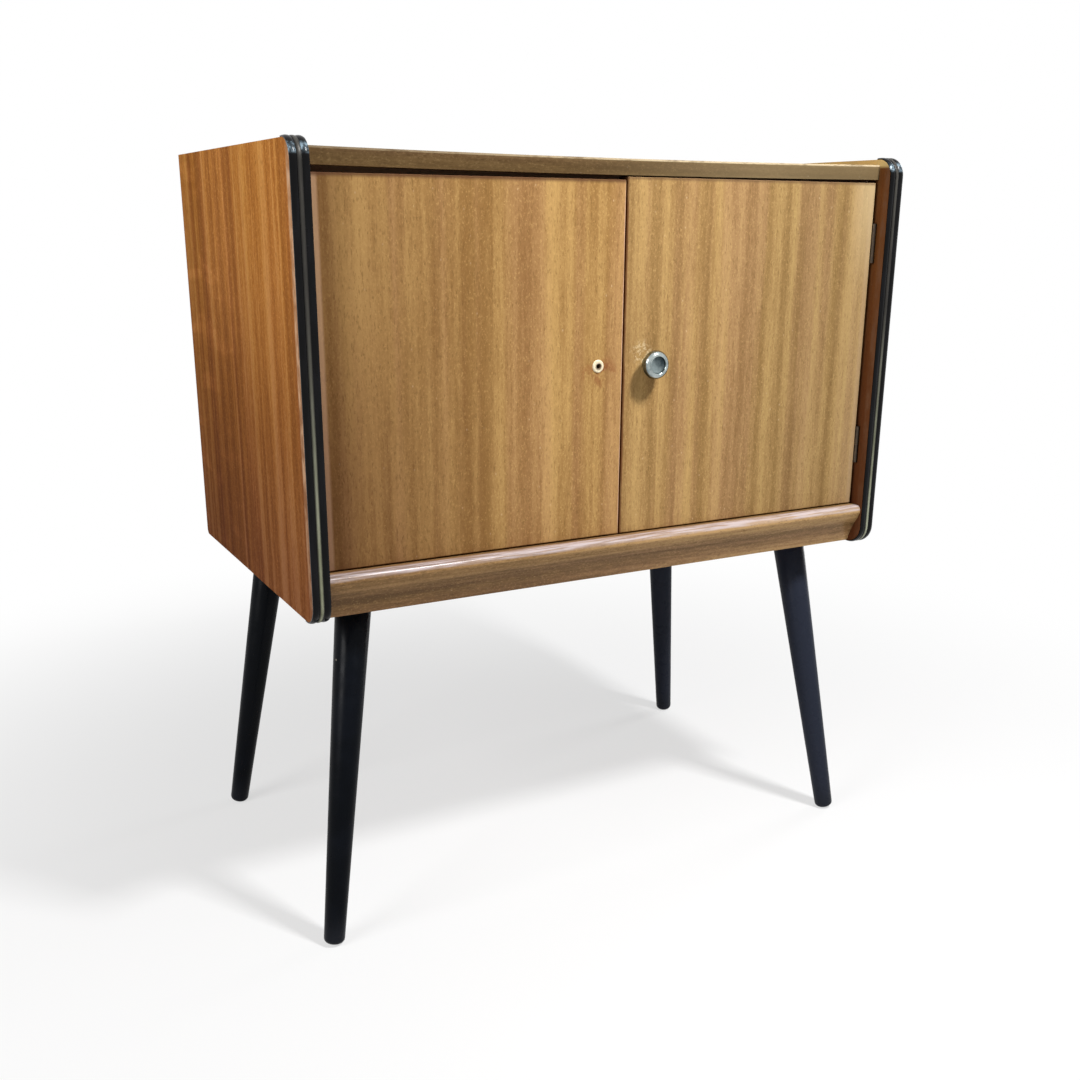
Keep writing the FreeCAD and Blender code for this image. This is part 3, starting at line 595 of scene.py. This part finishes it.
plate_steel = bare_steel("zinc plate", rgb(176, 178, 180), 0.34, 0.35)
underside = 0.342                       # of the sides and battens
plate_thick = 0.0025
plate_face = underside - plate_thick
screw_inset = 0.0205                    # from a plate's middle to its screws, both ways
plate_screws = []
for across in ("left", "right"):
    for along in ("front", "back"):
        node = "leg_plate_%s_%s" % (along, across)
        wear(node, plate_steel)
        low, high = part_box(node)
        middle = (low + high) / 2
        for right in (-1, 1):
            for back in (-1, 1):
                place = (middle.x + right * screw_inset, middle.y + back * screw_inset, plate_face)
                plate_screws.append((place, (0, 0, -1)))
drive("leg_plate_screws", "carcass", 0.0036, 0.0016, plate_screws, 3)


# ------------------------------------------------------------------ legs
# Four turned legs, straight tapers with a rounded foot that the floor has rubbed flat, in black
# lacquer with a soft sheen and a few pale chips. A painted bluish sheen lightens the right-hand
# legs.

def black_lacquer():
    finish, shader = new_finish("black leg lacquer", 0.22, Specular_IOR_Level=0.07)
    cloud = noise(finish, where(finish), 26, 3.0)
    colour = blend(finish, spread(finish, cloud, 0.35, 0.7), rgb(1, 3, 7), rgb(5, 8, 15))
    # Painted sheen: the right-hand legs turn a lighter bluish grey, standing in for a reflection.
    painted_leg_sheen = spread(finish, coordinate(finish, "x"), 0.10, 0.25, 0, 0.8)
    colour = blend(finish, painted_leg_sheen, colour, rgb(39, 43, 55))
    foot = spread(finish, coordinate(finish, "z"), 0.004, 0.04, 0.7, 0)
    colour = blend(finish, foot, colour, rgb(30, 32, 38))
    chip = flecks(finish, where(finish, (0.2, 0.1, 0)), 30, (0.045, 0.07), (0.90, 0.91), "Green")
    colour = blend(finish, chip, colour, rgb(214, 206, 186))
    feed(finish, shader, Base_Color=colour)
    hazy = noise(finish, where(finish, (2, 0, 0)), 60, 3.0)
    dull = spread(finish, hazy, 0.35, 0.7, 0.24, 0.4)
    feed(finish, shader, Roughness=dull)
    return finish


def arc(middle, radius, start, end, count):
    """Points (radius, distance) of an arc in a turned profile; angles in degrees from the axis."""
    found = []
    for number in range(count + 1):
        angle = math.radians(start + (end - start) * number / count)
        found.append((middle[0] + radius * math.sin(angle), middle[1] + radius * math.cos(angle)))
    return found


def turn_profile(builder, profile, start, way, steps):
    """Adds a turned shape to a mesh being built, from (radius, distance) points along way."""
    way = way.normalized()
    one = way.orthogonal().normalized()
    other = way.cross(one)
    rings = []
    for radius, distance in profile:
        centre = start + way * distance
        if radius < 1e-7:
            rings.append([builder.verts.new(centre)])
            continue
        rings.append([
            builder.verts.new(centre + (one * math.cos(a) + other * math.sin(a)) * radius)
            for a in (2 * math.pi * n / steps for n in range(steps))
        ])
    for first, second in zip(rings, rings[1:]):
        for n in range(steps):
            m = (n + 1) % steps
            if len(first) == 1:
                builder.faces.new((first[0], second[n], second[m]))
            elif len(second) == 1:
                builder.faces.new((first[n], second[0], first[m]))
            else:
                builder.faces.new((first[n], second[n], second[m], first[m]))


def piece_from(builder, name, finish, body, crease):
    """The built shape as a piece in its finish, riding on its body."""
    bmesh.ops.recalc_face_normals(builder, faces=builder.faces)
    mesh = bpy.data.meshes.new(name)
    builder.to_mesh(mesh)
    builder.free()
    mesh.materials.append(finish)
    return finished(name, mesh, crease, body)


lean_aside, lean_along = 0.051, 0.0435  # how far a foot stands out from the leg's upper end
leg_aside = 0.265                       # the legs' upper ends, from the middle
leg_rows = ((-0.12375, -1), (0.14275, 1))
leg_radius, foot_radius, foot_round = 0.0175, 0.0105, 0.0055
leg_arris = 0.0006
end_radius = 0.0075                     # of the solid leg's flat end, inside its chamfer
foot_wear = 0.0006                      # how deep the floor has worn the foot's lowest edge
rim_clearance = 0.0005                  # from the leg's upper rim to its plate
leg_lean = math.atan(math.hypot(lean_aside, lean_along) / underside)
leg_seat = (plate_thick + leg_radius * math.sin(leg_lean) + rim_clearance) / math.cos(leg_lean)
leg_reach = underside + foot_wear - end_radius * math.sin(leg_lean)
leg_length = leg_reach / math.cos(leg_lean) - leg_seat
leg_profile = [(0, 0), (leg_radius - leg_arris, 0), (leg_radius, leg_arris)]
leg_profile += arc((foot_radius - foot_round, leg_length - foot_round), foot_round, 90, 0, 10)
leg_profile += [(0, leg_length)]
builder = bmesh.new()
for across in (-1, 1):
    for along, back in leg_rows:
        way = Vector((across * lean_aside, back * lean_along, -underside)).normalized()
        top = Vector((across * leg_aside, along, underside))
        turn_profile(builder, leg_profile, top + way * leg_seat, way, 64)
for vertex in builder.verts:
    vertex.co.z = max(vertex.co.z, 0)
turned_legs = piece_from(
    builder, "turned_legs", black_lacquer(), "carcass", 50)
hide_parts("legs")


# ------------------------------------------------------------------ doors
# Two veneered doors from one flitch, with lipped edges. The lacquer has crazed to tiny pale
# specks; the right door's outer edge and top have rubbed pale, and the hands that reached for the
# knob and key have left scuffs there. Painted shade darkens both doors along the top under the top
# panel, and the left door towards its lower left and beside the side panel.

def door_veneer(name, seed, outward, dark, middle, light):
    finish, shader, colour = wooden(
        name, "z", dark, middle, light, seed, stripe=58, contrast=0.9, specks=0.4)
    across, depth = (coordinate(finish, axis) for axis in "xy")
    from_middle = product(finish, across, outward)
    rim = spread(finish, from_middle, 0.2990, 0.3025, 0, 0.55 if outward < 0 else 0.25)
    colour = blend(finish, rim, colour, rgb(200, 168, 136))
    patchy = noise(finish, where(finish, (4, 0, 0), (1, 1, 0.3)), 90)
    meeting = product(finish, spread(finish, from_middle, 0.0016, 0.0028, 0.8, 0),
                      spread(finish, patchy, 0.30, 0.52, 0.3, 1))
    edge_tone = rgb(216, 172, 142) if outward < 0 else rgb(108, 68, 42)
    colour = blend(finish, meeting, colour, edge_tone)
    back = spread(finish, depth, -0.1765, -0.1760)
    colour = tinted(finish, product(finish, back, 0.8), colour, rgb(190, 160, 140))
    return finish, shader, colour


def away_from(finish, place, along=(1, 1, 1)):
    """The distance from a place, measured only along the axes that are 1."""
    own = add(finish, "TexCoord").outputs["Object"]
    if along != (1, 1, 1):
        own = add(finish, "VectorMath", {0: own, 1: along}, operation="MULTIPLY").outputs[0]
    return add(finish, "VectorMath", {0: own, 1: place}, operation="DISTANCE").outputs["Value"]


def scuffed(finish, colour, place, reach, tone, strength, scale):
    """Rubbed marks that gather round a place."""
    near = spread(finish, away_from(finish, place), reach * 0.35, reach, 1, 0)
    marks = spread(finish, noise(finish, where(finish, (1, 2, 3)), scale, 3.0, 0.7), 0.48, 0.62)
    return blend(finish, product(finish, near, marks, strength), colour, tone)


finish, shader, colour = door_veneer(
    "left door veneer", 2.35, -1, rgb(142, 105, 60), rgb(167, 130, 79), rgb(190, 153, 95))
across, height = (coordinate(finish, axis) for axis in "xz")
# Painted shade: the left door darkens towards its lower left.
hue_and_shade = product(finish, spread(finish, across, -0.30, -0.06, 1, 0.05),
                  spread(finish, height, 0.42, 0.72, 1, 0.55))
colour = tinted(finish, hue_and_shade, colour, rgb(186, 174, 176))
# Painted shade: a strip beside the side panel is darker.
shade_by_side_panel = product(finish, spread(finish, across, -0.2990, -0.262, 0.8, 0),
                 spread(finish, across, -0.3025, -0.2995))
colour = tinted(finish, shade_by_side_panel, colour, rgb(206, 200, 196))
# Painted shade: a dark band along the door's top, under the top panel.
shade_under_top = spread(finish, height, 0.7215, 0.7255, 0, 0.85)
colour = blend(finish, shade_under_top, colour, rgb(82, 54, 40))
colour = scuffed(finish, colour, (-0.022, -0.178, 0.549), 0.019, rgb(130, 76, 48), 0.7, 70)
colour = scuffed(finish, colour, (-0.039, -0.178, 0.549), 0.012, rgb(138, 84, 52), 0.5, 80)
feed(finish, shader, Base_Color=colour)
wear("door_left", finish)

finish, shader, colour = door_veneer(
    "right door veneer", 6.85, 1, rgb(137, 105, 63), rgb(162, 128, 81), rgb(185, 151, 97))
across, height = (coordinate(finish, axis) for axis in "xz")
# The right door turns a little darker and less red towards its right.
hue_and_shade = spread(finish, across, 0.06, 0.26)
colour = tinted(finish, hue_and_shade, colour, rgb(234, 238, 240))
pale = product(finish, spread(finish, across, 0.270, 0.300, 0, 0.5),
               spread(finish, height, 0.60, 0.72, 0.2, 1))
colour = blend(finish, pale, colour, rgb(200, 178, 136))
# Painted shade: a dark band along the door's top, under the top panel.
shade_under_top = spread(finish, height, 0.7250, 0.7282, 0, 0.7)
colour = blend(finish, shade_under_top, colour, rgb(100, 76, 56))
colour = scuffed(finish, colour, (0.0205, -0.178, 0.5665), 0.015, rgb(222, 198, 156), 0.75, 230)
feed(finish, shader, Base_Color=colour)
wear("door_right", finish)


# ------------------------------------------------------------------ hinges
# Each door hangs on two butt hinges of 40 mm, let into its edge and into the side. Two slotted
# screws hold each leaf.

hinge_steel = bare_steel("hinge steel", rgb(70, 62, 54), 0.45, 0.6)
wear("hinge_pins", hinge_steel)
leaf_face = {"door": 0.3079, "side": 0.3107}    # the leaves' screwed faces, from the middle
screw_row = -0.1693
screw_rise = 0.0125                     # from a leaf's middle to its screws
for across, side in ((-1, "left"), (1, "right")):
    door_screws, side_screws = [], []
    for level in ("lower", "upper"):
        for leaf, places in (("door", door_screws), ("side", side_screws)):
            node = "hinge_%s_leaf_%s_%s" % (leaf, level, side)
            wear(node, hinge_steel)
            low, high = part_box(node)
            toward = across if leaf == "door" else -across
            for up in (-screw_rise, screw_rise):
                place = (across * leaf_face[leaf], screw_row, (low.z + high.z) / 2 + up)
                places.append((place, (toward, 0, 0)))
    drive("hinge_door_screws_" + side, side + "_door", 0.0024, 0.0006,
          door_screws, 11)
    drive("hinge_side_screws_" + side, "carcass", 0.0024, 0.0006,
          side_screws, 12)


# ------------------------------------------------------------------ lock and strike
# A small steel mortise lock is let into the back of the left door and closed by a cap plate with
# two screws. Its bolt shoots into a strike plate in the edge of the right door.

lock_steel = bare_steel("lock steel", rgb(150, 146, 138), 0.38, 0.7)
for node in ("lock_case", "lock_cap", "lock_bolt", "lock_strike"):
    wear(node, lock_steel)
cap_inset, strike_inset = 0.0035, 0.005     # from the plates' ends to their screws
low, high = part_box("lock_cap")
cap_screws = [(((low.x + high.x) / 2, high.y, height), (0, 1, 0))
              for height in (low.z + cap_inset, high.z - cap_inset)]
drive("lock_cap_screws", "left_door", 0.0022, 0.0006, cap_screws, 21)
low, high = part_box("lock_strike")
strike_screws = [((low.x, (low.y + high.y) / 2, height), (-1, 0, 0))
                 for height in (low.z + strike_inset, high.z - strike_inset)]
drive("strike_screws", "right_door", 0.0022, 0.0005, strike_screws, 22)


# ------------------------------------------------------------------ key bush
# A cream plastic ring guards the hole for the key. Its mouth is rounded, and dirt has settled
# round the hole; the bore is painted dark as shade.

def cream_plastic():
    finish, shader = new_finish("cream bush", 0.38)
    key_hole = (-0.0285, 0, 0.5555)
    # Dirt round the mouth, and painted shade down the bore.
    dirt_and_shade = spread(finish, away_from(finish, key_hole, (1, 0, 1)), 0.0021, 0.0046, 0.95, 0)
    grime = spread(finish, noise(finish, where(finish), 900, 3.0), 0.45, 0.7, 0, 0.4)
    colour = blend(finish, grime, rgb(236, 222, 190), rgb(188, 160, 116))
    colour = blend(finish, dirt_and_shade, colour, rgb(92, 70, 48))
    feed(finish, shader, Base_Color=colour)
    return finish


hole_radius, bush_radius, bush_depth = 0.0022, 0.0062, 0.006
mouth_round, lip_round = 0.0020, 0.0012
bush_profile = [(hole_radius, -bush_depth), (hole_radius, 0.0004)]
bush_profile += arc((hole_radius + mouth_round, 0.0004), mouth_round, -90, -45, 3)[1:]
bush_profile += arc((0.0044, 0), lip_round, -20, 0, 2)
bush_profile += arc((bush_radius - lip_round, 0), lip_round, 0, 90, 6)
bush_profile += [(bush_radius, -bush_depth), (hole_radius, -bush_depth)]
builder = bmesh.new()
door_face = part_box("door_left")[0].y
low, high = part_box("key_bush")
bush_seat = Vector(((low.x + high.x) / 2, door_face, (low.z + high.z) / 2))
turn_profile(builder, bush_profile, bush_seat, Vector((0, -1, 0)), 64)
bmesh.ops.remove_doubles(builder, verts=builder.verts, dist=1e-7)
turned_bush = piece_from(builder, "turned_bush", cream_plastic(), "left_door", 60)
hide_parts("key_bush")


# ------------------------------------------------------------------ knob
# A turned and chromed knob with a fat rounded rim, screwed to the right door, and a dull disc
# pressed into its dish. Painted shade darkens the chrome towards the door and on its lower side,
# and the disc towards its upper right.

def chrome():
    finish, shader = new_finish("knob chrome", 0.2, Metallic=1.0)
    haze = noise(finish, where(finish), 130)
    colour = blend(finish, spread(finish, haze, 0.35, 0.7), rgb(186, 194, 192), rgb(140, 152, 152))
    # Painted shade: the chrome darkens towards the door and on its lower side.
    shade_toward_door = spread(finish, coordinate(finish, "y"), -0.1962, -0.1920, 0.1, 1)
    shade_below = spread(finish, coordinate(finish, "z"), 0.546, 0.564, 0.95, 0.4)
    colour = blend(finish, product(finish, shade_toward_door, shade_below), colour, rgb(70, 82, 88))
    feed(finish, shader, Base_Color=colour)
    rough = spread(finish, haze, 0.35, 0.75, 0.16, 0.26)
    feed(finish, shader, Roughness=rough)
    return finish


def dull_disc():
    finish, shader = new_finish("knob disc metal", 0.3, Metallic=0.6, Specular_IOR_Level=0.2)
    disc_middle = (0.0295, -0.1935, 0.5555)
    rings = sums(finish, "SINE", product(finish, away_from(finish, disc_middle), 9000.0))
    tarnish = noise(finish, where(finish), 300)
    # Painted shade of the rim darkens the disc towards its upper right; tarnish adds patches.
    slant = sums(finish, "ADD", coordinate(finish, "x"), coordinate(finish, "z"))
    shade_and_tarnish = sums(finish, "ADD", spread(finish, slant, 0.576, 0.592, 0, 0.8),
                  spread(finish, tarnish, 0.3, 0.7, 0, 0.2))
    colour = blend(finish, shade_and_tarnish, rgb(138, 150, 150), rgb(44, 56, 60))
    feed(finish, shader, Base_Color=colour)
    relief(finish, shader, rings, 0.25, 0.0001)
    return finish


knob_way = Vector((0, -1, 0))
low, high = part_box("knob")
knob_seat = Vector(((low.x + high.x) / 2, door_face, (low.z + high.z) / 2))
thread_radius, thread_length = 0.002, 0.011     # the screw that holds it to the door
neck_radius = 0.0075
dish_radius, dish_floor = 0.0080, 0.0156
knob_profile = [(0, -thread_length), (thread_radius, -thread_length), (thread_radius, 0)]
knob_profile += [(neck_radius, 0), (0.0070, 0.0030), (0.0072, 0.0058)]
rim_radius, rim_height = 0.0085, 0.0130     # the middle of the oval rim
rim_width, rim_depth = 0.0055, 0.0060       # half of it, each way
rim_steps = 20
for number in range(rim_steps + 1):
    angle = math.radians(170 - 152 * number / rim_steps)
    knob_profile.append((rim_radius + rim_width * math.sin(angle),
                         rim_height + rim_depth * math.cos(angle)))
knob_profile += arc((0.0096, 0.0176), 0.0014, 24, -90, 10)
knob_profile += [(dish_radius, 0.0170), (dish_radius, dish_floor), (0, dish_floor)]
builder = bmesh.new()
turn_profile(builder, knob_profile, knob_seat, knob_way, 96)
turned_knob = piece_from(builder, "turned_knob", chrome(), "right_door", 50)
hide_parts("knob")

disc_radius, face_radius, disc_steps = 0.0079, 0.0074, 8
disc_profile = [(0, dish_floor), (disc_radius, dish_floor), (disc_radius, 0.0166)]
for number in range(disc_steps + 1):
    out = 1 - number / disc_steps
    disc_profile.append((face_radius * out, 0.0158 + 0.0010 * out ** 2))
builder = bmesh.new()
turn_profile(builder, disc_profile, knob_seat, knob_way, 96)
turned_disc = piece_from(builder, "turned_disc", dull_disc(), "right_door", 50)
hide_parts("knob_insert")


# ------------------------------------------------------------------ slide bolts
# Two small flat bolts behind the right door's inner edge hold it at top and bottom. Four screws
# hold each plate.

bolt_nickel = bare_steel("slide bolt nickel", rgb(176, 172, 160), 0.3, 0.4)
bolt_plate_thick = 0.0012
inset_aside, inset_up = 0.0022, 0.005   # from a plate's edges to its screws
bolt_screws = []
for level in ("upper", "lower"):
    wear("slide_plate_" + level, bolt_nickel)
    wear("slide_bar_" + level, bolt_nickel)
    low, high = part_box("slide_plate_" + level)
    for x in (low.x + inset_aside, high.x - inset_aside):
        for z in (low.z + inset_up, high.z - inset_up):
            bolt_screws.append(((x, low.y + bolt_plate_thick, z), (0, 1, 0)))
drive("slide_bolt_screws", "right_door", 0.0015, 0.0006, bolt_screws, 31)


# ------------------------------------------------------------------ studio
# A pale floor and a plain white background, lit by one small lamp, two broad ones and an even sky.

def white_for_the_eye(finish):
    """The background is white to the camera and in reflections."""
    path = add(finish, "LightPath")
    seen = sums(finish, "MAXIMUM", path.outputs["Is Camera Ray"], path.outputs["Is Glossy Ray"])
    return sums(finish, "MAXIMUM", seen, path.outputs["Is Transmission Ray"])


floor_finish, floor_shader = new_finish("studio floor", 0.9, Specular_IOR_Level=0.0)
grit = noise(floor_finish, where(floor_finish), 3)
floor_tone = blend(floor_finish, grit, (0.79, 0.79, 0.79, 1), (0.81, 0.81, 0.81, 1))
feed(floor_finish, floor_shader, Base_Color=floor_tone)
own = add(floor_finish, "TexCoord").outputs["Object"]
far = add(floor_finish, "VectorMath", {0: own}, operation="LENGTH").outputs["Value"]
glow = add(floor_finish, "Emission", {"Color": (1, 1, 1, 1), "Strength": 1.0})
bare = white_for_the_eye(floor_finish)
share = product(floor_finish, bare, spread(floor_finish, far, 0.35, 1.3, 0.62, 1))
mixed = add(floor_finish, "MixShader", {0: share, 1: floor_shader.outputs[0], 2: glow.outputs[0]})
floor_end = floor_finish.node_tree.nodes["Material Output"]
feed(floor_finish, floor_end, Surface=mixed.outputs[0])
bpy.ops.mesh.primitive_plane_add(size=40, location=(0, 0, -0.0005))
floor = bpy.context.object
floor.name = "studio_floor"
floor.data.materials.append(floor_finish)

sky = bpy.data.worlds.new("sky")
sky.use_nodes = True
bpy.context.scene.world = sky
even = sky.node_tree.nodes["Background"]
even.inputs["Color"].default_value = (1, 1, 1, 1)
sky_light = 0.12                        # on the object; the camera sees white
feed(sky, even, Strength=spread(sky, white_for_the_eye(sky), 0, 1, sky_light, 1.0))


def lamp(name, place, target, width, depth, power):
    """A rectangular lamp at a place, turned to its target; metres and watts."""
    light = bpy.data.lights.new(name, "AREA")
    light.shape = "RECTANGLE"
    light.size = width
    light.size_y = depth
    light.energy = power
    stand = bpy.data.objects.new(name, light)
    bpy.context.scene.collection.objects.link(stand)
    aim = Vector(target) - Vector(place)
    turned = aim.to_track_quat("-Z", "Y").to_matrix().to_4x4()
    stand.matrix_world = Matrix.Translation(place) @ turned


lamp("key lamp", (0.46, -1.08, 1.88), (0.03, -0.18, 0.55), 0.25, 0.25, 43)
lamp("left lamp", (-2.2, -0.65, 1.6), (-0.2, -0.1, 0.5), 1.1, 1.1, 29)
lamp("window lamp", (1.9, 0.35, 0.9), (0.1, 0.0, 0.3), 0.5, 1.2, 9)
